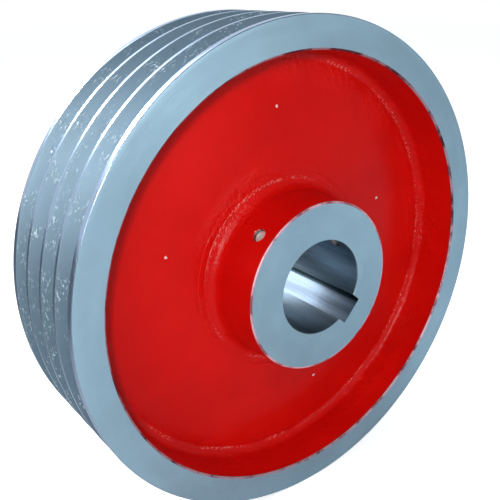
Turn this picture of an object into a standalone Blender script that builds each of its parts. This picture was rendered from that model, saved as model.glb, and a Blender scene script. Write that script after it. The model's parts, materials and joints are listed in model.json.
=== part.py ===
"""V-belt pulley: a four-groove cast-iron pulley with a solid web, a keyed bore and two set screws.

The pulley stands upright. It spins about the Y axis, its front faces -Y, and the origin is on the
bore's axis, halfway between the foremost and rearmost faces. The casting is divided into its natural
members: a rim barrel, the five ribs that stand on it and form the four V grooves, a web and a hub.
"""

from math import cos, pi, radians, sin, tan

import bmesh
import bpy
from mathutils import Vector

# Belt section SPB on a 300 mm pitch circle, in metres.
PITCH_R = 0.150
PITCH_LINE_DEPTH = 0.0035
PITCH_WIDTH = 0.014
GROOVE_DEPTH = 0.0143
GROOVE_HALF_ANGLE = radians(19.0)
GROOVE_PITCH = 0.019
GROOVE_COUNT = 4
EDGE_TO_GROOVE = 0.0125
LAND_CHAMFER = 0.0004

OUTER_R = PITCH_R + PITCH_LINE_DEPTH
GROOVE_FLOOR_R = OUTER_R - GROOVE_DEPTH
GROOVE_HALF_TOP = PITCH_WIDTH / 2 + PITCH_LINE_DEPTH * tan(GROOVE_HALF_ANGLE)
GROOVE_HALF_FLOOR = GROOVE_HALF_TOP - GROOVE_DEPTH * tan(GROOVE_HALF_ANGLE)
RIM_WIDTH = 2 * EDGE_TO_GROOVE + (GROOVE_COUNT - 1) * GROOVE_PITCH

# The hub's nose stands proud of the rim's front face, and its tail is flush with the rim's rear face.
HUB_PROUD = 0.010
HUB_LENGTH = RIM_WIDTH + HUB_PROUD
HUB_FRONT_Y = -HUB_LENGTH / 2
HUB_REAR_Y = HUB_LENGTH / 2
RIM_FRONT_Y = HUB_FRONT_Y + HUB_PROUD
RIM_REAR_Y = RIM_FRONT_Y + RIM_WIDTH

# The rim's inside drafts inwards from each mouth to the web.
RIM_MOUTH_R = 0.1353
RIM_ROOT_R = 0.1347
RIM_MOUTH_CHAMFER = 0.0008
RIM_FILLET = 0.006

# The web is a little thicker at the hub than at the rim.
WEB_FRONT_AT_RIM = RIM_FRONT_Y + 0.0300
WEB_FRONT_AT_HUB = RIM_FRONT_Y + 0.0267
WEB_REAR_AT_RIM = RIM_REAR_Y - 0.0340
WEB_REAR_AT_HUB = RIM_REAR_Y - 0.0312

HUB_NOSE_R = 0.0536
HUB_ROOT_R = 0.0542
HUB_CHAMFER = 0.0006
HUB_FILLET = 0.0076
BORE_R = 0.030
BORE_CHAMFER = 0.0006

# The keyway is for an 18 mm wide parallel key.
KEYWAY_WIDTH = 0.018
KEYWAY_FLOOR_R = 0.0355
KEYWAY_ANGLE = radians(-41.5)

# M8 set screws, a quarter turn apart, in radial holes near the hub's front face.
SCREW_ANGLES = (radians(134.0), radians(44.0))
SCREW_FROM_NOSE = 0.0129
SCREW_R = 0.0039
SCREW_HOLE_R = 0.0040
SCREW_LENGTH = 0.016
SCREW_TOP_R = 0.0520
SCREW_END_CHAMFER = 0.0008
SCREW_CUP_R = 0.0022
SCREW_CUP_DEPTH = 0.0012
SOCKET_ACROSS_FLATS = 0.004
SOCKET_DEPTH = 0.004

GAP = 0.0003
TURN_STEPS = 72
SCREW_STEPS = 24
FILLET_STEPS = 4
OVERCUT = 0.004

IRON = ("machined_iron", (0.38, 0.46, 0.52, 1.0), 0.34, 1.0)
ENAMEL = ("red_enamel", (0.62, 0.008, 0.006, 1.0), 0.22, 0.0)
STEEL = ("screw_steel", (0.52, 0.53, 0.55, 1.0), 0.30, 1.0)


def clear_scene():
    for obj in list(bpy.data.objects):
        bpy.data.objects.remove(obj, do_unlink=True)


def material(name, colour, roughness, metallic):
    """A Principled material, made once and shared by name."""
    found = bpy.data.materials.get(name)
    if found:
        return found
    made = bpy.data.materials.new(name)
    made.use_nodes = True
    shader = made.node_tree.nodes["Principled BSDF"]
    shader.inputs["Base Color"].default_value = colour
    shader.inputs["Roughness"].default_value = roughness
    shader.inputs["Metallic"].default_value = metallic
    made.diffuse_color = colour
    return made


def arc(centre, radius, start, end, steps=FILLET_STEPS):
    """Points of an arc in the (r, y) half plane, from angle start to angle end in degrees."""
    angles = [radians(start + (end - start) * i / steps) for i in range(steps + 1)]
    return [(centre[0] + radius * cos(a), centre[1] + radius * sin(a)) for a in angles]


def add_object(name, bm, finish):
    """Puts a bmesh in the scene as a smooth-shaded object with sharp machined edges."""
    mesh = bpy.data.meshes.new(name)
    bmesh.ops.recalc_face_normals(bm, faces=bm.faces)
    bm.to_mesh(mesh)
    bm.free()
    mesh.shade_smooth()
    mesh.set_sharp_from_angle(angle=radians(28.0))
    mesh.materials.append(material(*finish))
    obj = bpy.data.objects.new(name, mesh)
    bpy.context.scene.collection.objects.link(obj)
    return obj


def spun(profile, axis, steps):
    """A bmesh of a closed (radius, height) profile turned all the way round the given axis."""
    bm = bmesh.new()
    side = Vector((1.0, 0.0, 0.0))
    verts = [bm.verts.new(side * r + axis * h) for r, h in profile]
    edges = [bm.edges.new((a, b)) for a, b in zip(verts, verts[1:] + verts[:1])]
    bmesh.ops.spin(
        bm,
        geom=verts + edges,
        cent=(0.0, 0.0, 0.0),
        axis=axis,
        angle=2 * pi,
        steps=steps,
        use_merge=True,
    )
    bmesh.ops.remove_doubles(bm, verts=bm.verts, dist=1e-6)
    return bm


def turned(name, profile, finish):
    """A member of the casting, turned about the pulley's axis from (r, y) points."""
    return add_object(name, spun(profile, Vector((0.0, 1.0, 0.0)), TURN_STEPS), finish)


def cut(obj, cutter):
    """Cuts a helper object out of obj, and leaves the helper out of the model."""
    cutter.hide_render = True
    cutter.display_type = "WIRE"
    boolean = obj.modifiers.new("cut_" + cutter.name, "BOOLEAN")
    boolean.operation = "DIFFERENCE"
    boolean.solver = "EXACT"
    boolean.object = cutter


def rim_barrel():
    """The rim's ring under the grooves, with the fillets that run into the web."""
    lip = RIM_ROOT_R - RIM_FILLET
    front = arc((lip, WEB_FRONT_AT_RIM - RIM_FILLET), RIM_FILLET, 0, 90)
    rear = arc((lip, WEB_REAR_AT_RIM + RIM_FILLET), RIM_FILLET, -90, 0)
    profile = [
        (GROOVE_FLOOR_R, RIM_FRONT_Y),
        (RIM_MOUTH_R + RIM_MOUTH_CHAMFER, RIM_FRONT_Y),
        (RIM_MOUTH_R, RIM_FRONT_Y + RIM_MOUTH_CHAMFER),
        *front,
        *rear,
        (RIM_MOUTH_R, RIM_REAR_Y - RIM_MOUTH_CHAMFER),
        (RIM_MOUTH_R + RIM_MOUTH_CHAMFER, RIM_REAR_Y),
        (GROOVE_FLOOR_R, RIM_REAR_Y),
    ]
    return turned("rim_barrel", profile, IRON)


def groove_centre(index):
    return RIM_FRONT_Y + EDGE_TO_GROOVE + index * GROOVE_PITCH


def flank(centre, side):
    """The floor corner, the upper flank and the land's edge of one side of a groove, in that order."""
    inner = GROOVE_FLOOR_R + GAP
    rise = (inner - GROOVE_FLOOR_R) * tan(GROOVE_HALF_ANGLE)
    return [
        (inner, centre + side * (GROOVE_HALF_FLOOR + rise)),
        (OUTER_R - LAND_CHAMFER, centre + side * (GROOVE_HALF_TOP - LAND_CHAMFER * tan(GROOVE_HALF_ANGLE))),
        (OUTER_R, centre + side * (GROOVE_HALF_TOP + LAND_CHAMFER)),
    ]


def face_edge(face_y, inwards):
    """The outer corner of an end flange, chamfered, ending at the barrel."""
    return [
        (OUTER_R, face_y + inwards * LAND_CHAMFER),
        (OUTER_R - LAND_CHAMFER, face_y),
        (GROOVE_FLOOR_R + GAP, face_y),
    ]


def ribs():
    """The two end flanges and the ribs between neighbouring grooves."""
    first = groove_centre(0)
    last = groove_centre(GROOVE_COUNT - 1)
    turned("front_flange", flank(first, -1) + face_edge(RIM_FRONT_Y, 1), IRON)
    for index in range(GROOVE_COUNT - 1):
        before = flank(groove_centre(index), 1)
        after = flank(groove_centre(index + 1), -1)
        turned(f"groove_rib_{index + 1}", before + after[::-1], IRON)
    turned("rear_flange", flank(last, 1) + face_edge(RIM_REAR_Y, -1), IRON)


def web_disc():
    """The solid web between the hub's fillets and the rim's fillets."""
    inner = HUB_ROOT_R + HUB_FILLET + GAP
    outer = RIM_ROOT_R - RIM_FILLET - GAP
    profile = [
        (inner, WEB_FRONT_AT_HUB),
        (outer, WEB_FRONT_AT_RIM),
        (outer, WEB_REAR_AT_RIM),
        (inner, WEB_REAR_AT_HUB),
    ]
    return turned("web_disc", profile, ENAMEL)


def box_cutter(name, low, high):
    """A block between two corners, as a bmesh object for cutting."""
    bm = bmesh.new()
    bmesh.ops.create_cube(bm, size=1.0)
    low = Vector(low)
    high = Vector(high)
    size = high - low
    bmesh.ops.scale(bm, vec=size, verts=bm.verts)
    bmesh.ops.translate(bm, vec=(low + high) / 2, verts=bm.verts)
    return add_object(name, bm, STEEL)


def prism_cutter(name, radius, sides, low, high):
    """A prism or cylinder along Z from low to high, as a bmesh object for cutting."""
    bm = bmesh.new()
    bmesh.ops.create_cone(
        bm,
        cap_ends=True,
        segments=sides,
        radius1=radius,
        radius2=radius,
        depth=high - low,
    )
    bmesh.ops.translate(bm, vec=(0.0, 0.0, (low + high) / 2), verts=bm.verts)
    return add_object(name, bm, STEEL)


def point_outwards(obj, angle):
    """Turns the object's Z axis to the radial direction at this angle, at the set screws' station."""
    obj.location = (0.0, HUB_FRONT_Y + SCREW_FROM_NOSE, 0.0)
    obj.rotation_euler = (0.0, pi / 2 - angle, 0.0)


def hub():
    """The bored hub with its base fillets, keyway and two tapped holes."""
    base = HUB_ROOT_R + HUB_FILLET
    front = arc((base, WEB_FRONT_AT_HUB - HUB_FILLET), HUB_FILLET, 180, 90)
    rear = arc((base, WEB_REAR_AT_HUB + HUB_FILLET), HUB_FILLET, 270, 180)
    profile = [
        (BORE_R, HUB_FRONT_Y + BORE_CHAMFER),
        (BORE_R + BORE_CHAMFER, HUB_FRONT_Y),
        (HUB_NOSE_R - HUB_CHAMFER, HUB_FRONT_Y),
        (HUB_NOSE_R, HUB_FRONT_Y + HUB_CHAMFER),
        *front,
        *rear,
        (HUB_NOSE_R, HUB_REAR_Y - HUB_CHAMFER),
        (HUB_NOSE_R - HUB_CHAMFER, HUB_REAR_Y),
        (BORE_R + BORE_CHAMFER, HUB_REAR_Y),
        (BORE_R, HUB_REAR_Y - BORE_CHAMFER),
    ]
    obj = turned("hub", profile, ENAMEL)
    half = KEYWAY_WIDTH / 2
    keyway = box_cutter(
        "keyway_cutter",
        (BORE_R / 2, HUB_FRONT_Y - OVERCUT, -half),
        (KEYWAY_FLOOR_R, HUB_REAR_Y + OVERCUT, half),
    )
    keyway.rotation_euler = (0.0, -KEYWAY_ANGLE, 0.0)
    cut(obj, keyway)
    for number, angle in enumerate(SCREW_ANGLES, 1):
        hole = prism_cutter(
            f"tapped_hole_cutter_{number}",
            SCREW_HOLE_R,
            SCREW_STEPS,
            BORE_R / 2,
            HUB_ROOT_R + OVERCUT,
        )
        point_outwards(hole, angle)
        cut(obj, hole)
    return obj


def set_screw(number, angle):
    """A hexagon socket set screw with a cup point, its axis along the hole."""
    tip = SCREW_TOP_R - SCREW_LENGTH
    profile = [
        (0.0, SCREW_TOP_R),
        (SCREW_R - SCREW_END_CHAMFER, SCREW_TOP_R),
        (SCREW_R, SCREW_TOP_R - SCREW_END_CHAMFER),
        (SCREW_R, tip + SCREW_R - SCREW_CUP_R),
        (SCREW_CUP_R, tip),
        (0.0, tip + SCREW_CUP_DEPTH),
    ]
    obj = add_object(
        f"set_screw_{number}",
        spun_solid(profile, SCREW_STEPS),
        STEEL,
    )
    socket = prism_cutter(
        f"socket_cutter_{number}",
        SOCKET_ACROSS_FLATS / 2 / cos(pi / 6),
        6,
        SCREW_TOP_R - SOCKET_DEPTH,
        SCREW_TOP_R + OVERCUT,
    )
    point_outwards(socket, angle)
    point_outwards(obj, angle)
    cut(obj, socket)
    return obj


def spun_solid(profile, steps):
    """A solid turned about Z from an open profile whose two ends lie on the axis."""
    bm = bmesh.new()
    verts = [bm.verts.new((r, 0.0, h)) for r, h in profile]
    edges = [bm.edges.new((a, b)) for a, b in zip(verts, verts[1:])]
    bmesh.ops.spin(
        bm,
        geom=verts + edges,
        cent=(0.0, 0.0, 0.0),
        axis=(0.0, 0.0, 1.0),
        angle=2 * pi,
        steps=steps,
        use_merge=True,
    )
    bmesh.ops.remove_doubles(bm, verts=bm.verts, dist=1e-6)
    return bm


clear_scene()
rim_barrel()
ribs()
web_disc()
hub()
for screw_number, screw_angle in enumerate(SCREW_ANGLES, 1):
    set_screw(screw_number, screw_angle)
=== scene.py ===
"""Looks of the V-belt pulley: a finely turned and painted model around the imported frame."""

import json
from math import ceil, cos, degrees, hypot, pi, radians, sin, tan

import bmesh
import bpy
from mathutils import Matrix, Vector, noise


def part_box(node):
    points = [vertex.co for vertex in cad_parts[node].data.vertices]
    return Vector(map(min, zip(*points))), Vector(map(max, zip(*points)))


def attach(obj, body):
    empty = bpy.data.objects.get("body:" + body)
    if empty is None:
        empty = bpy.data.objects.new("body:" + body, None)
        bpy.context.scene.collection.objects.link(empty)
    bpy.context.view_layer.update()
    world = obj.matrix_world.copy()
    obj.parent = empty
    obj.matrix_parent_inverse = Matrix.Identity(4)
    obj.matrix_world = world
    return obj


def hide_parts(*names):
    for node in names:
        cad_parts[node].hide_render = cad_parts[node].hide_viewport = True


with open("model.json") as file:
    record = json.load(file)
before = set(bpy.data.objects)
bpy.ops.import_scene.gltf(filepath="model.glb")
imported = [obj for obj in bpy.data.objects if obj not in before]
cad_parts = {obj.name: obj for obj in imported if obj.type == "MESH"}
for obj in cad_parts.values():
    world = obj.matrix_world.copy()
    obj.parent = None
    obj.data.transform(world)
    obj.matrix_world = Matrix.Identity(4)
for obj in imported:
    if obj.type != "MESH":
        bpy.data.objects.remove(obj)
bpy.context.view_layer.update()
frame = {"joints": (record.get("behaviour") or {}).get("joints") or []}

MM = 0.001

# ---------------------------------------------------------------- places taken from the frame

FLANGE_LOW, FLANGE_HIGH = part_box("front_flange")
REAR_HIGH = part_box("rear_flange")[1]
BARREL_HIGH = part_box("rim_barrel")[1]
HUB_LOW, HUB_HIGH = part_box("hub")
RIB_MIDDLES = [sum(corner.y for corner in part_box(f"groove_rib_{n}")) / 2 for n in (1, 2, 3)]
JOINT_AXES = [Vector(joint["axis"]) for joint in frame["joints"]]

OUTER_R = FLANGE_HIGH.x
FLOOR_R = BARREL_HIGH.x
RIM_FRONT_Y = FLANGE_LOW.y
RIM_REAR_Y = REAR_HIGH.y
HUB_FRONT_Y = HUB_LOW.y
HUB_REAR_Y = HUB_HIGH.y
GROOVE_PITCH = RIB_MIDDLES[1] - RIB_MIDDLES[0]
GROOVE_MIDDLES = [RIB_MIDDLES[0] - GROOVE_PITCH / 2 + n * GROOVE_PITCH for n in range(4)]

# ---------------------------------------------------------------- sizes of the visible details

FLANK_ANGLE = radians(19.0)
GROOVE_HALF_TOP = 8.205 * MM
GROOVE_HALF_FLOOR = GROOVE_HALF_TOP - (OUTER_R - FLOOR_R) * tan(FLANK_ANGLE)
LAND_ROUND = 0.35 * MM
FACE_EDGE_ROUND = 0.5 * MM
SINK = 0.05 * MM  # how far the ribs and flanges reach into the barrel
SINK_SETBACK = 0.5 * MM  # from a flange's face to where its sunk edge starts

RIM_MOUTH_R = 135.3 * MM
RIM_ROOT_R = 134.7 * MM
RIM_CHAMFER = 1.1 * MM
RIM_FILLET = 6.0 * MM
RIM_MARGIN = 1.2 * MM  # the machined edge, which hasn't the casting's unevenness
PAINT_TRIM = 0.6 * MM  # how wide the thin dark strip of painted shade is where the enamel ends

WEB_FRONT_AT_RIM = RIM_FRONT_Y + 30.0 * MM
WEB_FRONT_AT_HUB = RIM_FRONT_Y + 26.7 * MM
WEB_REAR_AT_RIM = RIM_REAR_Y - 34.0 * MM
WEB_REAR_AT_HUB = RIM_REAR_Y - 31.2 * MM
WEB_OUTER_R = RIM_ROOT_R - RIM_FILLET

HUB_NOSE_R = 53.6 * MM
HUB_ROOT_R = 54.2 * MM
HUB_CHAMFER = 0.55 * MM
HUB_FILLET = 7.6 * MM
HUB_FILLET_STOP = 96  # degrees, a little short of the web's plane
HUB_MARGIN = 1.5 * MM
PAINTED_RIM = 0.7 * MM  # a strip round the hub's faces where some enamel is left
HUB_STEP = 0.55 * MM  # the small cast step between the fillet's end and the web
TOE_REACH = 0.9 * MM  # from the fillet's end to its toe, which dips into the web
TOE_SINK = 0.25 * MM
WEB_LAP = 1.0 * MM  # how far the web reaches in under the hub's fillet
SKIRT_WIDTH = 3.2 * MM  # a low raised ring of the web round the hub's fillet
SKIRT_STEP = 0.25 * MM
SKIRT_SLOPE = 0.5 * MM
SKIRT_RUN = 2.0 * MM  # from the skirt's edge to where the web's dish starts
WEB_INNER_R = HUB_ROOT_R + HUB_FILLET
BORE_R = 30.0 * MM
WEB_MIDDLE_Y = (WEB_FRONT_AT_HUB + WEB_REAR_AT_HUB) / 2
BORE_CHAMFER = 0.35 * MM
KEYWAY_WIDTH = 18.0 * MM
KEYWAY_FLOOR_R = 35.5 * MM
KEYWAY_ANGLE = radians(-41.5)
KEYWAY_CORNER = 0.4 * MM
KEYWAY_OVERRUN = 8.0 * MM  # how much longer the cutter is than the hub

SCREW_STATION_Y = HUB_FRONT_Y + 12.9 * MM
SCREW_TOP_R = 52.0 * MM
SCREW_LENGTH = 16.0 * MM
THREAD_PITCH = 1.25 * MM
SCREW_CREST_R = 3.80 * MM
SCREW_ROOT_R = 3.35 * MM
HOLE_CREST_R = 3.92 * MM
HOLE_ROOT_R = 4.25 * MM
HOLE_INNER_END = BORE_R - 6.0 * MM  # the hole's cutter runs from inside the bore
HOLE_OUTER_END = HUB_ROOT_R + 3.0 * MM  # to outside the hub
MOUTH_LOW_R = HOLE_CREST_R - 0.4 * MM  # the painted countersink at the hole's mouth
MOUTH_HIGH_R = 5.5 * MM
MOUTH_DEPTH = 0.95 * MM
MOUTH_OVERCUT = 1.1 * MM
SOCKET_HALF_FLATS = 2.0 * MM
SOCKET_CORNER_R = SOCKET_HALF_FLATS / cos(pi / 6)
SOCKET_DEPTH = 4.0 * MM
SOCKET_OVERCUT = 1.0 * MM
FLARE_LOW_R = 1.6 * MM
FLARE_HIGH_R = 2.6 * MM
FLARE_DEPTH = 0.6 * MM
CUP_MOUTH_R = 2.4 * MM
CUP_FLOOR_R = 0.5 * MM
CUP_DEPTH = 1.1 * MM
OVERCUT = 0.2 * MM  # how far a cutter reaches outside the surface it cuts

# ---------------------------------------------------------------- how finely shapes are divided

TURN = 480
HUB_TURN = 240
FILLET_PARTS = 14
CORNER_PARTS = 5
THREAD_SIDES = 40
THREAD_ROWS = 6  # for each turn of a thread
CONE_SIDES = 48
CUP_SIDES = 32
HEXAGON = 6
FLANK_STEP = 1.5 * MM
FACE_STEP = 2.0 * MM
PAINTED_STEP = 1.6 * MM
WEB_STEP = 2.2 * MM
HUB_FACE_STEP = 4.0 * MM
BORE_STEP = 6.0 * MM
SHARP_ANGLE = radians(26.0)
TINY = 0.001 * MM


# ---------------------------------------------------------------- node helpers

# The Mix node's colour sockets share their names with its other sockets, so they go by number.
MIX_FIRST = 6
MIX_SECOND = 7
MIX_RESULT = 2


def shade(tint, brightness):
    """An opaque colour: the tint, made that much brighter or darker."""
    return [min(1.0, part * brightness) for part in tint] + [1.0]


class Shader:
    """A material under construction: a Principled node and short ways to add what feeds it."""

    def __init__(self, name, **values):
        self.material = bpy.data.materials.new(name)
        self.material.use_nodes = True
        self.tree = self.material.node_tree
        self.shader = self.tree.nodes["Principled BSDF"]
        for socket, value in values.items():
            self.shader.inputs[socket.replace("_", " ")].default_value = value

    def node(self, kind, **values):
        made = self.tree.nodes.new("ShaderNode" + kind)
        for name, value in values.items():
            setattr(made, name, value)
        return made

    def link(self, source, target):
        self.tree.links.new(source, target)

    def feed(self, socket, value):
        if hasattr(value, "is_output"):
            self.link(value, socket)
        else:
            socket.default_value = value

    def set(self, socket, value):
        self.feed(self.shader.inputs[socket], value)

    def position(self):
        return self.node("TexCoord").outputs["Object"]

    def split(self, vector):
        made = self.node("SeparateXYZ")
        self.link(vector, made.inputs[0])
        return made.outputs

    def combine(self, x, y, z):
        made = self.node("CombineXYZ")
        for socket, value in zip(made.inputs, (x, y, z)):
            self.feed(socket, value)
        return made.outputs[0]

    def math(self, operation, *values, clamp=False):
        made = self.node("Math", operation=operation, use_clamp=clamp)
        for socket, value in zip(made.inputs, values):
            self.feed(socket, value)
        return made.outputs[0]

    def plus(self, first, second, clamp=False):
        return self.math("ADD", first, second, clamp=clamp)

    def minus(self, first, second):
        return self.math("SUBTRACT", first, second)

    def times(self, first, second):
        return self.math("MULTIPLY", first, second)

    def length(self, across, along):
        """The length of a flat vector with these two parts."""
        return self.math("SQRT", self.plus(self.times(across, across), self.times(along, along)))

    def distance(self, first, second):
        return self.math("ABSOLUTE", self.minus(first, second))

    def spread(self, value, low, high, out_low=0.0, out_high=1.0):
        """The value's smooth way from low to high, as a number from out_low to out_high."""
        made = self.node("MapRange", interpolation_type="SMOOTHSTEP")
        for socket, number in zip(made.inputs, (value, low, high, out_low, out_high)):
            self.feed(socket, number)
        return made.outputs[0]

    def mix(self, factor, first, second):
        made = self.node("Mix", data_type="RGBA")
        self.feed(made.inputs["Factor"], factor)
        self.feed(made.inputs[MIX_FIRST], first)
        self.feed(made.inputs[MIX_SECOND], second)
        return made.outputs[MIX_RESULT]

    def bump(self, height, distance, strength, normal=None):
        made = self.node("Bump")
        self.feed(made.inputs["Height"], height)
        self.feed(made.inputs["Distance"], distance)
        self.feed(made.inputs["Strength"], strength)
        if normal is not None:
            self.link(normal, made.inputs["Normal"])
        return made.outputs["Normal"]

    def noise(self, vector, scale, detail=3.0, roughness=0.55, w=None):
        """Noise of the vector, and of a fourth coordinate w where there is one."""
        made = self.node("TexNoise", noise_dimensions="3D" if w is None else "4D")
        self.feed(made.inputs["Vector"], vector)
        self.feed(made.inputs["Scale"], scale)
        self.feed(made.inputs["Detail"], detail)
        self.feed(made.inputs["Roughness"], roughness)
        if w is not None:
            self.feed(made.inputs["W"], w)
        return made.outputs["Fac"]

    def turned_noise(self, position, fine, sweep, detail, roughness=0.55):
        """Noise that changes fast across the lathe's feed and slowly round the pulley's axis."""
        x, y, z = self.split(position)
        radius = self.length(x, z)
        safe = self.math("MAXIMUM", radius, MM)
        round_x = self.times(self.math("DIVIDE", x, safe), sweep)
        round_z = self.times(self.math("DIVIDE", z, safe), sweep)
        vector = self.combine(self.times(radius, fine), self.times(y, fine), round_x)
        return self.noise(vector, 1.0, detail, roughness, w=round_z)

    def axial_noise(self, position, across, along, detail, roughness=0.55):
        """Noise drawn out along the pulley's axis."""
        x, y, z = self.split(position)
        vector = self.combine(self.times(x, across), self.times(y, along), self.times(z, across))
        return self.noise(vector, 1.0, detail, roughness)


# ---------------------------------------------------------------- materials


WHITE = (1.0, 1.0, 1.0, 1.0)
TORN_IRON = (0.80, 0.93, 1.0, 1.0)


def machined_iron(name, tint, roughness, chatter, tearing=0.0):
    """Fine-turned grey iron under a thin blue-grey protective film, with feed marks round the axis.

    chatter is the height of the small torn marks that sparkle where a lamp catches them, and
    tearing is how much brighter they are than the rest."""
    m = Shader(name, Metallic=1.0, Anisotropic=0.25)
    place = m.position()
    feed = m.turned_noise(place, 900.0, 1.6, 2.0)
    bands = m.turned_noise(place, 140.0, 3.0, 3.0)
    cloud = m.noise(place, 22.0, detail=4.0)
    grain = m.noise(place, 900.0, detail=2.0)
    base = m.mix(m.spread(cloud, 0.35, 0.68), shade(tint, 0.94), shade(tint, 1.04))
    streak = m.mix(m.times(m.spread(bands, 0.45, 0.75), 0.25), base, shade(tint, 1.2))
    spots = m.spread(m.noise(place, 260.0, detail=3.0, roughness=0.65), 0.70, 0.76)
    stained = m.mix(m.times(spots, 0.35), streak, shade(tint, 0.45))
    marks = m.turned_noise(place, 1100.0, 55.0, 3.0, 0.7)
    patches = m.spread(m.noise(place, 48.0, detail=2.0), 0.46, 0.60)
    torn = m.times(m.spread(marks, 0.55, 0.63), patches)
    m.set("Base Color", m.mix(m.times(torn, tearing), stained, TORN_IRON))
    rough = m.plus(roughness, m.times(m.minus(bands, 0.5), 0.18))
    m.set("Roughness", m.plus(rough, m.times(spots, 0.15), clamp=True))
    first = m.bump(feed, 0.06 * MM, 0.55)
    second = m.bump(torn, chatter, 1.0, first)
    m.set("Normal", m.bump(grain, 0.03 * MM, 0.5, second))
    return m.material


ENAMEL_DARK = (0.60, 0.0030, 0.0018, 1.0)
ENAMEL_LIGHT = (0.70, 0.0050, 0.0030, 1.0)
PIT_DIRT = (0.22, 0.003, 0.004, 1.0)
# pale rubbed enamel, also a painted highlight along the fillet crests
WORN_GLINT_ENAMEL = (0.86, 0.30, 0.27, 1.0)
CHIP_PRIMER = (0.85, 0.66, 0.64, 1.0)

# The two ring-shaped corners where the web meets the hub and the rim are rough as cast.
HUB_CORNER_R = WEB_INNER_R - 4.0 * MM
RIM_CORNER_R = WEB_OUTER_R + 3.0 * MM
CORNER_ABOVE_WEB = (WEB_REAR_AT_HUB - WEB_FRONT_AT_HUB) / 2 + 4.0 * MM
CAST_CORE = 5.0 * MM
CAST_REACH = 19.0 * MM

# The crests of the front fillets, where the enamel is rubbed pale and also carries a painted
# highlight: radius and height.
WORN_GLINT_CRESTS = (
    (WEB_INNER_R - 1.2 * MM, WEB_FRONT_AT_HUB),
    (WEB_OUTER_R + 1.5 * MM, WEB_FRONT_AT_RIM),
)
CREST_CORE = 0.4 * MM
CREST_REACH = 1.3 * MM
CREST_HEIGHT = 4.0 * MM

# Small chips in the web's enamel, at most one in each cell of this many to the metre.
CHIP_CELLS = 24.0
CHIP_FROM_R = 75.0 * MM
CHIP_TO_R = 126.0 * MM
CHIP_SHARE = 0.34
CHIP_CORE = 0.044
CHIP_REACH = 0.050


def cast_corners(m, radius, y):
    """How near a place is to a corner of the casting, from 0 to 1."""
    above_web = m.distance(y, WEB_MIDDLE_Y)
    cast = 0.0
    for corner_r in (HUB_CORNER_R, RIM_CORNER_R):
        away = m.length(m.minus(radius, corner_r), m.minus(above_web, CORNER_ABOVE_WEB))
        cast = m.math("MAXIMUM", m.spread(away, CAST_CORE, CAST_REACH, 1.0, 0.0), cast)
    return cast


def worn_glint_crests(m, place, radius, y):
    """Where the enamel is rubbed pale along the fillets' crests, in broken stretches: wear, and a
    painted highlight.
    """
    worn_glint = 0.0
    for crest_r, crest_y in WORN_GLINT_CRESTS:
        on_crest = m.spread(m.distance(radius, crest_r), CREST_CORE, CREST_REACH, 1.0, 0.0)
        at_height = m.math("LESS_THAN", m.distance(y, crest_y), CREST_HEIGHT)
        worn_glint = m.math("MAXIMUM", m.times(on_crest, at_height), worn_glint)
    worn_glint = m.times(worn_glint, m.spread(m.noise(place, 620.0, detail=3.0, roughness=0.7), 0.50, 0.60))
    return m.times(worn_glint, m.spread(m.noise(place, 30.0, detail=2.0), 0.40, 0.60))


def web_chips(m, place, radius):
    """Where a chip of enamel is missing from the web, from 0 to 1."""
    x, _, z = m.split(place)
    cells = m.node("TexVoronoi", voronoi_dimensions="2D")
    m.link(m.combine(x, z, 0.0), cells.inputs["Vector"])
    cells.inputs["Scale"].default_value = CHIP_CELLS
    ragged = m.plus(cells.outputs["Distance"], m.times(m.noise(place, 700.0), 0.05))
    chosen = m.math("GREATER_THAN", m.split(cells.outputs["Color"])[0], 1.0 - CHIP_SHARE)
    beyond_hub = m.math("GREATER_THAN", radius, CHIP_FROM_R)
    before_rim = m.math("LESS_THAN", radius, CHIP_TO_R)
    chosen = m.times(chosen, m.times(beyond_hub, before_rim))
    return m.times(m.spread(ragged, CHIP_CORE, CHIP_REACH, 1.0, 0.0), chosen)


def red_enamel():
    """Glossy red enamel brushed over as-cast iron: smooth on the web, lumpy in the fillets."""
    m = Shader("red_enamel_gloss", Metallic=0.0, Coat_Weight=1.0, Coat_Roughness=0.25)
    m.shader.inputs["Specular IOR Level"].default_value = 0.0
    m.shader.inputs["Coat IOR"].default_value = 1.28
    place = m.position()
    x, y, z = m.split(place)
    radius = m.length(x, z)
    worn_glint = worn_glint_crests(m, place, radius, y)
    chip = web_chips(m, place, radius)
    patches = m.spread(m.noise(place, 26.0, detail=2.0), 0.42, 0.62)
    rugged = m.times(cast_corners(m, radius, y), m.plus(m.times(patches, 0.60), 0.40))
    tone = m.noise(place, 15.0, detail=4.0)
    base = m.mix(m.spread(tone, 0.3, 0.7), ENAMEL_DARK, ENAMEL_LIGHT)
    pits = m.spread(m.noise(place, 330.0, detail=4.0, roughness=0.7), 0.71, 0.77)
    dusty = m.mix(m.times(pits, 0.5), base, PIT_DIRT)
    # pale dashes on the fillet crests: worn enamel and a painted highlight
    rubbed_glint = m.mix(m.times(worn_glint, 0.6), dusty, WORN_GLINT_ENAMEL)
    m.set("Base Color", m.mix(chip, rubbed_glint, CHIP_PRIMER))
    sag = m.noise(place, 34.0, detail=2.0)
    rough = m.plus(0.20, m.times(m.spread(sag, 0.3, 0.7), 0.10))
    m.set("Roughness", m.plus(rough, m.times(chip, 0.3), clamp=True))
    peel = m.noise(place, 520.0, detail=2.0)
    lumps = m.noise(place, 210.0, detail=3.0, roughness=0.6)
    grit = m.noise(place, 560.0, detail=3.0, roughness=0.65)
    soft = m.bump(sag, 0.6 * MM, 0.35)
    orange = m.bump(peel, 0.05 * MM, 0.55, soft)
    coarse = m.bump(m.times(lumps, rugged), 1.6 * MM, 0.9, orange)
    normal = m.bump(m.times(grit, rugged), 0.6 * MM, 0.9, coarse)
    m.set("Normal", normal)
    m.set("Coat Normal", normal)
    return m.material


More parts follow.
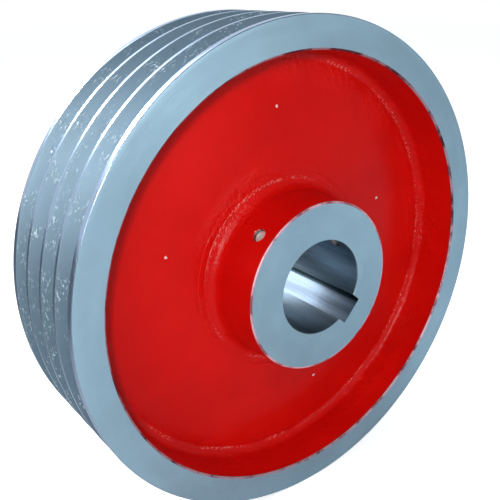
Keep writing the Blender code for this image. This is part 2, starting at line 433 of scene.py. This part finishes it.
def paint_edge(name, metallic, painted, bare_highlight_colour):
    """The broken corner between enamel and bare metal, a thin pinkish line whose pale colour is a
    painted highlight.
    """
    m = Shader(name, Metallic=metallic)
    m.shader.inputs["Specular IOR Level"].default_value = 0.25
    place = m.position()
    bare_highlight = m.spread(m.noise(place, 75.0, detail=4.0, roughness=0.6), 0.36, 0.56)
    m.set("Base Color", m.mix(bare_highlight, painted, bare_highlight_colour))
    m.set("Roughness", m.spread(bare_highlight, 0.0, 1.0, 0.45, 0.55))
    m.set("Normal", m.bump(m.noise(place, 420.0), 0.1 * MM, 0.6))
    return m.material


# painted shadow of the keyway's upper side wall, laid dark on the keyway's floor
WALL_SHADE = (0.045, 0.075, 0.085, 1.0)
WALL_SHADE_FADE = 0.7 * MM


def bored_iron(name, tint, roughness, shade_from=None):
    """Bored metal inside the hub, scratched along the axis where a test shaft was pushed through.

    In the keyway, a painted shadow of the upper side wall lies in the upper corner, from shade_from
    above its middle."""
    m = Shader(name, Metallic=1.0)
    place = m.position()
    axial = m.axial_noise(place, 260.0, 9.0, 4.0, 0.7)
    scratch = m.spread(m.axial_noise(place, 620.0, 22.0, 2.0), 0.66, 0.70)
    feed = m.turned_noise(place, 1300.0, 1.0, 1.0)
    base = m.mix(m.spread(axial, 0.35, 0.65), shade(tint, 0.80), shade(tint, 1.12))
    colour = m.mix(m.times(scratch, 0.35), base, shade(tint, 1.7))
    # the keyway floor's dark band beside its upper wall is painted shadow
    if shade_from is not None:
        x, _, z = m.split(place)
        across = m.plus(m.times(x, -sin(KEYWAY_ANGLE)), m.times(z, cos(KEYWAY_ANGLE)))
        wall_shade = m.spread(across, shade_from, shade_from + WALL_SHADE_FADE)
        colour = m.mix(m.times(wall_shade, 0.9), colour, WALL_SHADE)
    m.set("Base Color", colour)
    m.set("Roughness", m.plus(roughness, m.times(m.minus(axial, 0.5), 0.08), clamp=True))
    first = m.bump(feed, 0.05 * MM, 0.5)
    m.set("Normal", m.bump(m.plus(axial, m.times(scratch, -0.5)), 0.03 * MM, 0.6, first))
    return m.material


# near-black tints of the keyway's side walls: painted shade
SLOT_SHADE_DARK = (0.030, 0.062, 0.072, 1.0)
SLOT_SHADE_LIGHT = (0.060, 0.105, 0.118, 1.0)


def shaded_slot_iron():
    """The keyway's side walls, milled, and tinted near-black as painted shade."""
    m = Shader("shaded_slot_iron", Metallic=0.3, Roughness=0.7)
    m.shader.inputs["Specular IOR Level"].default_value = 0.2
    place = m.position()
    mottle = m.noise(place, 240.0, detail=3.0)
    m.set("Base Color", m.mix(m.spread(mottle, 0.35, 0.7), SLOT_SHADE_DARK, SLOT_SHADE_LIGHT))
    m.set("Normal", m.bump(m.noise(place, 900.0, detail=2.0), 0.04 * MM, 0.6))
    return m.material


ZINC = (0.98, 0.95, 0.94, 1.0)
STAINED_ZINC = (0.74, 0.69, 0.68, 1.0)


def screw_steel():
    """Bright zinc-plated steel of the set screws, a little stained."""
    m = Shader("screw_steel_bright", Metallic=0.6)
    place = m.position()
    stain = m.noise(place, 700.0, detail=4.0, roughness=0.6)
    m.set("Base Color", m.mix(m.spread(stain, 0.35, 0.7), ZINC, STAINED_ZINC))
    m.set("Roughness", m.spread(stain, 0.3, 0.75, 0.32, 0.48))
    m.set("Normal", m.bump(m.noise(place, 2400.0), 0.02 * MM, 0.5))
    return m.material


CUT_METAL = (0.50, 0.47, 0.46, 1.0)
CUT_METAL_OILED = (0.16, 0.11, 0.11, 1.0)


def hole_thread():
    """The cut thread in the hub's wall, bright with dark oily stains."""
    m = Shader("hole_thread", Metallic=1.0)
    mottle = m.noise(m.position(), 500.0, detail=3.0)
    m.set("Base Color", m.mix(m.spread(mottle, 0.35, 0.65), CUT_METAL, CUT_METAL_OILED))
    m.set("Roughness", m.spread(mottle, 0.3, 0.7, 0.22, 0.45))
    return m.material


FLOOR_LIFT = 0.61
FLOOR_SEEN = (0.80, 0.81, 0.82, 1.0)
FLOOR_NEAR = (0.46, 0.48, 0.50, 1.0)
# behind the pulley the floor is painted darker as its shadow, for what it lights and reflects
FLOOR_SHADOW = (0.12, 0.13, 0.14, 1.0)
FLOOR_FADE = (0.05, 0.45)  # from the Y where the floor's painted shadow starts to darken to where it is darkest


def pale_floor():
    """A pale matt floor, white to the camera alone, so that it doesn't flood the metal with light."""
    m = Shader("pale_floor", Metallic=0.0, Roughness=0.75)
    m.shader.inputs["Specular IOR Level"].default_value = 0.1
    m.shader.inputs["Emission Color"].default_value = WHITE
    seen = m.node("LightPath").outputs["Is Camera Ray"]
    # painted shadow of the pulley on the floor behind it
    shadow_behind = m.spread(m.split(m.position())[1], *FLOOR_FADE)
    dim = m.mix(shadow_behind, FLOOR_NEAR, FLOOR_SHADOW)
    m.set("Base Color", m.mix(seen, dim, FLOOR_SEEN))
    m.set("Emission Strength", m.times(seen, FLOOR_LIFT))
    return m.material


# a thin line of painted shade along the enamel's edge
THIN_EDGE_SHADE = (0.075, 0.006, 0.010, 1.0)
THIN_RED = (0.30, 0.012, 0.014, 1.0)


def thin_paint_shade():
    """The enamel's last half millimetre or so, a thin dark strip painted as the line of shade at its
    edge.
    """
    m = Shader("thin_paint_shade", Metallic=0.0)
    wave = m.noise(m.position(), 90.0, detail=3.0, roughness=0.6)
    m.set("Base Color", m.mix(m.spread(wave, 0.40, 0.62), THIN_EDGE_SHADE, THIN_RED))
    m.set("Roughness", m.spread(wave, 0.3, 0.7, 0.35, 0.5))
    return m.material


# where the painted shadow of the keyway's upper wall starts, measured from the keyway's middle
WALL_SHADE_FROM = 6.4 * MM

FACE_IRON = machined_iron("face_iron", (0.54, 0.78, 0.92), 0.40, 0.02 * MM)
# the groove flanks: the same turned iron, tinted darker as painted shade
GROOVE_IRON_SHADED = machined_iron("groove_iron_shaded", (0.25, 0.35, 0.43), 0.58, 0.09 * MM, 1.0)
# the lands: the same turned iron, tinted brighter and bluer than the flanks as a painted highlight
LAND_IRON_LIT = machined_iron("land_iron_lit", (0.44, 0.54, 0.70), 0.22, 0.02 * MM)
BORE_IRON = bored_iron("bore_iron", (0.20, 0.26, 0.31), 0.36)
KEYWAY_IRON = bored_iron("keyway_iron", (0.27, 0.33, 0.41), 0.22, WALL_SHADE_FROM)
# the keyway's side walls, in painted shade
SLOT_IRON = shaded_slot_iron()
THIN_PAINT_SHADE = thin_paint_shade()
RED = red_enamel()
# the pale pinkish colours of both chamfers are a painted highlight
HUB_EDGE = paint_edge("hub_edge", 0.30, (0.34, 0.09, 0.12, 1.0), (0.78, 0.45, 0.54, 1.0))
RIM_EDGE = paint_edge("rim_edge", 0.85, (0.16, 0.03, 0.05, 1.0), (0.62, 0.40, 0.47, 1.0))
SCREW = screw_steel()
THREAD = hole_thread()


# ---------------------------------------------------------------- mesh helpers


def arc(centre, radius, start, end, steps):
    """Points of an arc in the (r, y) half plane, angles in degrees."""
    angles = [radians(start + (end - start) * i / steps) for i in range(steps + 1)]
    return [(centre[0] + radius * cos(a), centre[1] + radius * sin(a)) for a in angles]


def line(start, end, step):
    """Evenly spaced points from start to end, leaving out the last one."""
    count = max(1, ceil(hypot(end[0] - start[0], end[1] - start[1]) / step))
    return [
        (start[0] + (end[0] - start[0]) * i / count, start[1] + (end[1] - start[1]) * i / count)
        for i in range(count)
    ]


def turned(name, stretches, segments=TURN, relief=None):
    """A ring turned about Y. stretches are (points, material) in order round a closed profile.

    A stretch's material covers the profile from each of its points to the next one.
    relief(place, radius) gives how far a vertex is moved along the profile's normal."""
    points = []
    slots = []
    materials = []
    for stretch, material in stretches:
        if material not in materials:
            materials.append(material)
        points += stretch
        slots += [materials.index(material)] * len(stretch)
    count = len(points)
    area = sum(
        points[i][0] * points[(i + 1) % count][1] - points[(i + 1) % count][0] * points[i][1]
        for i in range(count)
    )
    outward = 1.0 if area > 0 else -1.0
    verts = []
    for k in range(segments):
        a = 2 * pi * k / segments
        for i, (r, y) in enumerate(points):
            if relief:
                before = points[i - 1]
                after = points[(i + 1) % count]
                tangent = Vector((after[0] - before[0], after[1] - before[1])).normalized()
                normal = (tangent.y * outward, -tangent.x * outward)
                lift = relief(Vector((r * cos(a), y, r * sin(a))), r)
                r, y = r + normal[0] * lift, y + normal[1] * lift
            verts.append((r * cos(a), y, r * sin(a)))
    faces = []
    for k in range(segments):
        here = k * count
        there = (k + 1) % segments * count
        for i in range(count):
            j = (i + 1) % count
            quad = (here + i, here + j, there + j, there + i)
            faces.append(quad if outward > 0 else quad[::-1])
    mesh = bpy.data.meshes.new(name)
    mesh.from_pydata(verts, [], faces)
    for material in materials:
        mesh.materials.append(material)
    mesh.polygons.foreach_set("material_index", slots * segments)
    mesh.update()
    return finished(name, mesh)


def finished(name, mesh):
    """An object of this mesh, faces outwards, smooth with sharp machined edges."""
    bm = bmesh.new()
    bm.from_mesh(mesh)
    bmesh.ops.recalc_face_normals(bm, faces=bm.faces)
    bm.to_mesh(mesh)
    bm.free()
    mesh.shade_smooth()
    mesh.set_sharp_from_angle(angle=SHARP_ANGLE)
    obj = bpy.data.objects.new(name, mesh)
    bpy.context.scene.collection.objects.link(obj)
    return obj


def keep(obj, body, slot, *nodes):
    """Rides the piece on its body, in place of its CAD nodes."""
    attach(obj, body)
    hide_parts(*nodes)


ROUGH_HUB_R = 60.0 * MM
ROUGH_HUB_REACH = 12.0 * MM
ROUGH_RIM_R = 132.0 * MM
ROUGH_RIM_REACH = 10.0 * MM
RELIEF = 0.05 * MM
FILLET_RELIEF = 0.16 * MM
RELIEF_SCALE = 95.0
WAVE_SCALE = 31.0


def cast_relief(place, radius):
    """Gentle unevenness of the painted casting, strongest in the fillets."""
    hub_side = max(0.0, 1.0 - abs(radius - ROUGH_HUB_R) / ROUGH_HUB_REACH)
    rim_side = max(0.0, 1.0 - abs(radius - ROUGH_RIM_R) / ROUGH_RIM_REACH)
    strength = RELIEF + FILLET_RELIEF * max(hub_side, rim_side)
    return strength * noise.noise(place * RELIEF_SCALE) + RELIEF * noise.noise(place * WAVE_SCALE)


# ---------------------------------------------------------------- the rim


def rim_barrel():
    """The ring under the grooves. Its inside is painted, its faces and groove floors are bare."""

    def relief(place, radius):
        inside = radius < RIM_MOUTH_R + TINY
        away = min(place.y - RIM_FRONT_Y, RIM_REAR_Y - place.y)
        return cast_relief(place, radius) if inside and away > RIM_MARGIN else 0.0

    front_arc = arc((WEB_OUTER_R, WEB_FRONT_AT_RIM - RIM_FILLET), RIM_FILLET, 0, 90, FILLET_PARTS)
    rear_arc = arc((WEB_OUTER_R, WEB_REAR_AT_RIM + RIM_FILLET), RIM_FILLET, -90, 0, FILLET_PARTS)
    front_lip = (RIM_MOUTH_R, RIM_FRONT_Y + RIM_CHAMFER)
    rear_lip = (RIM_MOUTH_R, RIM_REAR_Y - RIM_CHAMFER)
    front_trim = (RIM_MOUTH_R, RIM_FRONT_Y + RIM_CHAMFER + PAINT_TRIM)
    rear_trim = (RIM_MOUTH_R, RIM_REAR_Y - RIM_CHAMFER - PAINT_TRIM)
    mouth = RIM_MOUTH_R + RIM_CHAMFER
    stretches = [
        ([(FLOOR_R, RIM_FRONT_Y)], FACE_IRON),
        ([(mouth, RIM_FRONT_Y)], RIM_EDGE),
        ([front_lip], THIN_PAINT_SHADE),
        (line(front_trim, front_arc[0], PAINTED_STEP) + front_arc, RED),
        (rear_arc[:-1] + line(rear_arc[-1], rear_trim, PAINTED_STEP), RED),
        ([rear_trim], THIN_PAINT_SHADE),
        ([rear_lip], RIM_EDGE),
        ([(mouth, RIM_REAR_Y)], FACE_IRON),
        ([(FLOOR_R, RIM_REAR_Y)], GROOVE_IRON_SHADED),
    ]
    obj = turned("rim_barrel_finish", stretches, relief=relief)
    keep(obj, "pulley", "machined_iron", "rim_barrel")


def floor_corner(middle, side):
    """Where a groove's flank meets its floor, sunk a little into the barrel."""
    return (FLOOR_R - SINK, middle + side * (GROOVE_HALF_FLOOR - SINK * tan(FLANK_ANGLE)))


def land_corner(middle, side):
    """The rounded corner between a flank and its land, from the flank to the land."""
    turn = degrees(pi / 2 - FLANK_ANGLE)
    half = GROOVE_HALF_TOP + LAND_ROUND * tan((pi / 2 - FLANK_ANGLE) / 2)
    centre = (OUTER_R - LAND_ROUND, middle + side * half)
    return arc(centre, LAND_ROUND, -side * turn, 0, CORNER_PARTS)


def face_corner(face_y, side):
    """The rounded outer corner of an end flange, from the land to the face. side is -1 in front."""
    centre = (OUTER_R - FACE_EDGE_ROUND, face_y - side * FACE_EDGE_ROUND)
    return arc(centre, FACE_EDGE_ROUND, 0, side * 90, CORNER_PARTS)


def flange(name, node, middle, side, face_y):
    """An end flange: one flank, its land and the rim's face."""
    corner = floor_corner(middle, side)
    land = land_corner(middle, side)
    edge = face_corner(face_y, side)
    stretches = [
        (line(corner, land[0], FLANK_STEP) + land[:2], GROOVE_IRON_SHADED),
        (land[2:] + edge[:-1], LAND_IRON_LIT),
        (line(edge[-1], (FLOOR_R, face_y), FACE_STEP), FACE_IRON),
        ([(FLOOR_R, face_y), (FLOOR_R - SINK, face_y - side * SINK_SETBACK)], GROOVE_IRON_SHADED),
    ]
    obj = turned(name, stretches)
    keep(obj, "pulley", "machined_iron", node)


def rib(name, node, before, after):
    """A rib between two grooves: a flank up, a narrow land and a flank down."""
    up = floor_corner(before, 1)
    down = floor_corner(after, -1)
    land_up = land_corner(before, 1)
    land_down = land_corner(after, -1)[::-1]
    stretches = [
        (line(up, land_up[0], FLANK_STEP) + land_up[:2], GROOVE_IRON_SHADED),
        (land_up[2:] + land_down[:-2], LAND_IRON_LIT),
        ([land_down[-2]] + line(land_down[-1], down, FLANK_STEP) + [down], GROOVE_IRON_SHADED),
    ]
    obj = turned(name, stretches)
    keep(obj, "pulley", "machined_iron", node)


# ---------------------------------------------------------------- the web and the hub


def web_disc():
    """The painted web, slightly dished, a little thicker at the hub and with a low skirt there."""
    inner = WEB_INNER_R - WEB_LAP
    skirt = WEB_INNER_R + SKIRT_WIDTH
    front = [
        (inner, WEB_FRONT_AT_HUB - SKIRT_STEP),
        (skirt, WEB_FRONT_AT_HUB - SKIRT_STEP),
        (skirt + SKIRT_SLOPE, WEB_FRONT_AT_HUB),
    ]
    front += line((skirt + SKIRT_RUN, WEB_FRONT_AT_HUB), (WEB_OUTER_R, WEB_FRONT_AT_RIM), WEB_STEP)
    rear = line((WEB_OUTER_R, WEB_REAR_AT_RIM), (skirt + SKIRT_RUN, WEB_REAR_AT_HUB), WEB_STEP)
    rear += [
        (skirt + SKIRT_SLOPE, WEB_REAR_AT_HUB),
        (skirt, WEB_REAR_AT_HUB + SKIRT_STEP),
    ]
    stretches = [
        (front + [(WEB_OUTER_R, WEB_FRONT_AT_RIM)], RED),
        (rear + [(inner, WEB_REAR_AT_HUB + SKIRT_STEP)], RED),
    ]
    obj = turned("web_disc_finish", stretches, relief=cast_relief)
    keep(obj, "pulley", "red_enamel", "web_disc")


def threaded_rod(name, crest, root, low, high):
    """A closed rod along Z with a helical V thread, from low to high."""
    rows = ceil((high - low) / THREAD_PITCH * THREAD_ROWS)
    steps = THREAD_SIDES
    verts = []
    for row in range(rows + 1):
        z = low + (high - low) * row / rows
        for k in range(steps):
            phase = (z / THREAD_PITCH - k / steps) % 1.0
            r = root + (crest - root) * (1.0 - abs(2.0 * phase - 1.0))
            a = 2 * pi * k / steps
            verts.append((r * cos(a), r * sin(a), z))
    faces = []
    for row in range(rows):
        for k in range(steps):
            n = (k + 1) % steps
            here = row * steps
            above = here + steps
            faces.append((here + k, here + n, above + n, above + k))
    faces.append(tuple(range(steps))[::-1])
    faces.append(tuple(rows * steps + k for k in range(steps)))
    mesh = bpy.data.meshes.new(name)
    mesh.from_pydata(verts, [], faces)
    return mesh


def cone_frustum(name, low_r, high_r, low, high, sides=CONE_SIDES):
    """A closed frustum along Z."""
    bm = bmesh.new()
    bmesh.ops.create_cone(
        bm, cap_ends=True, segments=sides, radius1=low_r, radius2=high_r, depth=high - low
    )
    bmesh.ops.translate(bm, vec=(0.0, 0.0, (low + high) / 2), verts=bm.verts)
    mesh = bpy.data.meshes.new(name)
    bm.to_mesh(mesh)
    bm.free()
    return mesh


def radial_matrix(axis):
    """Turns Z to a radial direction at the set screws' station."""
    turn = Vector((0.0, 0.0, 1.0)).rotation_difference(axis).to_matrix().to_4x4()
    return Matrix.Translation((0.0, SCREW_STATION_Y, 0.0)) @ turn


def helper(mesh, matrix, *materials):
    """A cutting object, out of the picture."""
    mesh.materials.clear()
    for material in materials:
        mesh.materials.append(material)
    obj = bpy.data.objects.new(mesh.name, mesh)
    bpy.context.scene.collection.objects.link(obj)
    obj.matrix_world = matrix
    obj.hide_render = True
    return obj


def cut(obj, cutters):
    """Cuts the helpers out of obj for good, keeping each helper's material on the faces it makes."""
    for cutter in cutters:
        boolean = obj.modifiers.new(cutter.name, "BOOLEAN")
        boolean.operation = "DIFFERENCE"
        boolean.solver = "EXACT"
        boolean.material_mode = "TRANSFER"
        boolean.object = cutter
    bpy.context.view_layer.update()
    graph = bpy.context.evaluated_depsgraph_get()
    result = obj.evaluated_get(graph)
    mesh = bpy.data.meshes.new_from_object(result, preserve_all_data_layers=True, depsgraph=graph)
    obj.modifiers.clear()
    obj.data = mesh
    for cutter in cutters:
        bpy.data.objects.remove(cutter, do_unlink=True)
    mesh.shade_smooth()
    mesh.set_sharp_from_angle(angle=SHARP_ANGLE)


def keyway_mesh():
    """The key's slot, a block with slightly rounded floor corners.

    Its floor has the first material, and its side walls have the second."""
    bm = bmesh.new()
    bmesh.ops.create_cube(bm, size=1.0)
    inner = BORE_R / 2
    length = HUB_REAR_Y - HUB_FRONT_Y + KEYWAY_OVERRUN
    bmesh.ops.scale(bm, vec=Vector((KEYWAY_FLOOR_R - inner, length, KEYWAY_WIDTH)), verts=bm.verts)
    bmesh.ops.translate(bm, vec=((KEYWAY_FLOOR_R + inner) / 2, 0.0, 0.0), verts=bm.verts)
    floor_edges = []
    for edge in bm.edges:
        start, end = (vert.co for vert in edge.verts)
        if min(start.x, end.x) > BORE_R and abs(start.z - end.z) < TINY:
            floor_edges.append(edge)
    bmesh.ops.bevel(bm, geom=floor_edges, offset=KEYWAY_CORNER, segments=3, affect="EDGES")
    bm.normal_update()
    for face in bm.faces:
        is_wall = face.normal.x < 0.5
        face.material_index = int(is_wall)
    mesh = bpy.data.meshes.new("keyway_shape")
    bm.to_mesh(mesh)
    bm.free()
    return mesh


def hub():
    """The hub: bare nose and bore, painted side, a small cast step where its fillet meets the web."""

    def relief(place, radius):
        outside = radius > HUB_NOSE_R - TINY
        away = min(place.y - HUB_FRONT_Y, HUB_REAR_Y - place.y)
        return cast_relief(place, radius) if outside and away > HUB_MARGIN else 0.0

    front_centre = (WEB_INNER_R, WEB_FRONT_AT_HUB - HUB_STEP - HUB_FILLET)
    rear_centre = (WEB_INNER_R, WEB_REAR_AT_HUB + HUB_STEP + HUB_FILLET)
    front_fillet = arc(front_centre, HUB_FILLET, 180, HUB_FILLET_STOP, FILLET_PARTS)
    rear_fillet = arc(rear_centre, HUB_FILLET, 360 - HUB_FILLET_STOP, 180, FILLET_PARTS)
    front_toe = (front_fillet[-1][0] + TOE_REACH, WEB_FRONT_AT_HUB + TOE_SINK)
    rear_toe = (rear_fillet[0][0] + TOE_REACH, WEB_REAR_AT_HUB - TOE_SINK)
    front_edge = (HUB_NOSE_R, HUB_FRONT_Y + HUB_CHAMFER)
    rear_edge = (HUB_NOSE_R, HUB_REAR_Y - HUB_CHAMFER)
    front_trim = (HUB_NOSE_R, HUB_FRONT_Y + HUB_CHAMFER + PAINT_TRIM)
    rear_trim = (HUB_NOSE_R, HUB_REAR_Y - HUB_CHAMFER - PAINT_TRIM)
    bore_rear = (BORE_R, HUB_REAR_Y - BORE_CHAMFER)
    bore_front = (BORE_R, HUB_FRONT_Y + BORE_CHAMFER)
    inner = BORE_R + BORE_CHAMFER
    nose = HUB_NOSE_R - HUB_CHAMFER
    stretches = [
        (line((inner, HUB_FRONT_Y), (nose - PAINTED_RIM, HUB_FRONT_Y), HUB_FACE_STEP), FACE_IRON),
        ([(nose - PAINTED_RIM, HUB_FRONT_Y), (nose, HUB_FRONT_Y)], HUB_EDGE),
        ([front_edge], THIN_PAINT_SHADE),
        (line(front_trim, front_fillet[0], PAINTED_STEP) + front_fillet + [front_toe], RED),
        ([rear_toe] + rear_fillet[:-1] + line(rear_fillet[-1], rear_trim, PAINTED_STEP), RED),
        ([rear_trim], THIN_PAINT_SHADE),
        ([rear_edge, (nose, HUB_REAR_Y)], HUB_EDGE),
        (line((nose - PAINTED_RIM, HUB_REAR_Y), (inner, HUB_REAR_Y), HUB_FACE_STEP), FACE_IRON),
        ([(inner, HUB_REAR_Y)], BORE_IRON),
        (line(bore_rear, bore_front, BORE_STEP) + [bore_front], BORE_IRON),
    ]
    obj = turned("hub_finish", stretches, segments=HUB_TURN, relief=relief)
    turn = Matrix.Rotation(-KEYWAY_ANGLE, 4, "Y")
    cutters = [helper(keyway_mesh(), turn, KEYWAY_IRON, SLOT_IRON)]
    for number, axis in enumerate(JOINT_AXES, 1):
        place = radial_matrix(axis)
        rod = threaded_rod(
            f"thread_{number}", HOLE_ROOT_R, HOLE_CREST_R, HOLE_INNER_END, HOLE_OUTER_END
        )
        cutters.append(helper(rod, place, THREAD))
        mouth = cone_frustum(
            f"countersink_{number}", MOUTH_LOW_R, MOUTH_HIGH_R,
            HUB_NOSE_R - MOUTH_DEPTH, HUB_NOSE_R + MOUTH_OVERCUT,
        )
        cutters.append(helper(mouth, place, RED))
    cut(obj, cutters)
    keep(obj, "pulley", "red_enamel", "hub")


# ---------------------------------------------------------------- the set screws


def set_screw(number, axis):
    """A threaded set screw with a hexagon socket and a cup point."""
    top = SCREW_TOP_R
    tip = SCREW_TOP_R - SCREW_LENGTH
    mesh = threaded_rod(f"screw_thread_{number}", SCREW_CREST_R, SCREW_ROOT_R, tip, top)
    mesh.materials.append(SCREW)
    obj = bpy.data.objects.new(f"set_screw_{number}_finish", mesh)
    bpy.context.scene.collection.objects.link(obj)
    place = radial_matrix(axis)
    obj.matrix_world = place
    low = top - SOCKET_DEPTH
    shapes = [
        cone_frustum("socket", SOCKET_CORNER_R, SOCKET_CORNER_R, low, top + SOCKET_OVERCUT, HEXAGON),
        cone_frustum("socket_flare", FLARE_LOW_R, FLARE_HIGH_R, top - FLARE_DEPTH, top + OVERCUT),
        cone_frustum("cup", CUP_MOUTH_R, CUP_FLOOR_R, tip - OVERCUT, tip + CUP_DEPTH, CUP_SIDES),
    ]
    cut(obj, [helper(shape, place, SCREW) for shape in shapes])
    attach(obj, f"set_screw_{number}")
    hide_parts(f"set_screw_{number}")


# ---------------------------------------------------------------- floor, light and camera


FLOOR_SIZE = 12.0
ROOM_FADE = (-0.5, 0.8)  # from the direction's Y where the room is darkest to where it is brightest
ROOM_FRONT = 0.28
ROOM_BACK = 0.90
ROOM_TINT = (0.84, 0.92, 1.0, 1.0)

# name, place, size in metres, power in watts, colour, and the beam's spread in degrees
LAMPS = (
    ("key", (-2.6, -2.5, 0.75), 0.9, 2.9, (1.0, 0.985, 0.96), 70.0),
    ("near", (-0.33, -0.40, 0.23), 0.045, 1.4, (1.0, 0.98, 0.96), 180.0),
    ("fill", (0.48, -2.35, 0.35), 1.0, 5.5, (0.97, 0.99, 1.0), 180.0),
    ("side", (2.8, 0.2, 0.75), 1.7, 11.0, (0.97, 0.99, 1.0), 180.0),
    ("window", (-0.62, 2.60, 1.42), 0.50, 3.6, (0.97, 0.98, 1.0), 60.0),
    ("skylight", (-0.50, 2.10, 1.90), 2.4, 8.0, (0.86, 0.93, 1.0), 60.0),
)


def studio():
    """A pale floor, a soft room and the lamps."""
    bpy.ops.mesh.primitive_plane_add(size=FLOOR_SIZE, location=(0.0, 0.0, -OUTER_R))
    floor = bpy.context.object
    floor.name = "studio_floor"
    floor.data.materials.append(pale_floor())
    room()
    for values in LAMPS:
        lamp(*values)


def room():
    """The world: plain white to the camera, bluish and dim to everything else, dimmer in front."""
    world = bpy.data.worlds.new("studio_room")
    world.use_nodes = True
    bpy.context.scene.world = world
    tree = world.node_tree
    background = tree.nodes["Background"]
    direction = tree.nodes.new("ShaderNodeSeparateXYZ")
    tree.links.new(tree.nodes.new("ShaderNodeTexCoord").outputs["Generated"], direction.inputs[0])
    depth = tree.nodes.new("ShaderNodeMapRange")
    for socket, value in zip(depth.inputs, (0.0, *ROOM_FADE, ROOM_FRONT, ROOM_BACK)):
        socket.default_value = value
    tree.links.new(direction.outputs["Y"], depth.inputs["Value"])
    path = tree.nodes.new("ShaderNodeLightPath")
    level = tree.nodes.new("ShaderNodeMapRange")
    level.inputs["To Max"].default_value = 1.0
    tree.links.new(path.outputs["Is Camera Ray"], level.inputs["Value"])
    tree.links.new(depth.outputs[0], level.inputs["To Min"])
    tree.links.new(level.outputs[0], background.inputs["Strength"])
    tint = tree.nodes.new("ShaderNodeMix")
    tint.data_type = "RGBA"
    tint.inputs[MIX_FIRST].default_value = ROOM_TINT
    tint.inputs[MIX_SECOND].default_value = WHITE
    tree.links.new(path.outputs["Is Camera Ray"], tint.inputs[0])
    tree.links.new(tint.outputs[MIX_RESULT], background.inputs["Color"])


def lamp(name, place, size, power, colour, spread):
    """A square area lamp aimed at the pulley, with its beam kept to spread degrees."""
    data = bpy.data.lights.new(name, "AREA")
    data.size = size
    data.spread = radians(spread)
    data.energy = power
    data.color = colour
    obj = bpy.data.objects.new(name, data)
    bpy.context.scene.collection.objects.link(obj)
    obj.location = place
    obj.rotation_mode = "QUATERNION"
    obj.rotation_quaternion = (-Vector(place)).to_track_quat("-Z", "Y")


CAMERA_PLACE = (-0.2509, -0.3242, 0.1650)
CAMERA_AZIMUTH = radians(-38.59)
CAMERA_ELEVATION = radians(25.49)
CAMERA_LENS = 48.2
CAMERA_SENSOR = 36.0
CAMERA_NEAREST = 0.01
CAMERA_SHIFT = (-0.0695, 0.1152)


def camera():
    """A near view from the front left and above, shifted a little to frame the pulley."""
    data = bpy.data.cameras.new("camera")
    data.lens = CAMERA_LENS
    data.sensor_width = CAMERA_SENSOR
    data.shift_x, data.shift_y = CAMERA_SHIFT
    data.clip_start = CAMERA_NEAREST
    obj = bpy.data.objects.new("camera", data)
    bpy.context.scene.collection.objects.link(obj)
    obj.location = CAMERA_PLACE
    back = Vector((
        sin(CAMERA_AZIMUTH) * cos(CAMERA_ELEVATION),
        -cos(CAMERA_AZIMUTH) * cos(CAMERA_ELEVATION),
        sin(CAMERA_ELEVATION),
    ))
    obj.rotation_mode = "QUATERNION"
    obj.rotation_quaternion = (-back).to_track_quat("-Z", "Y")
    bpy.context.scene.camera = obj


camera()
rim_barrel()
flange("front_flange_finish", "front_flange", GROOVE_MIDDLES[0], -1, RIM_FRONT_Y)
for number in (1, 2, 3):
    node = f"groove_rib_{number}"
    rib(f"{node}_finish", node, GROOVE_MIDDLES[number - 1], GROOVE_MIDDLES[number])
flange("rear_flange_finish", "rear_flange", GROOVE_MIDDLES[3], 1, RIM_REAR_Y)
web_disc()
hub()
for number, axis in enumerate(JOINT_AXES, 1):
    set_screw(number, axis)
studio()
bpy.context.scene.view_settings.view_transform = "Standard"
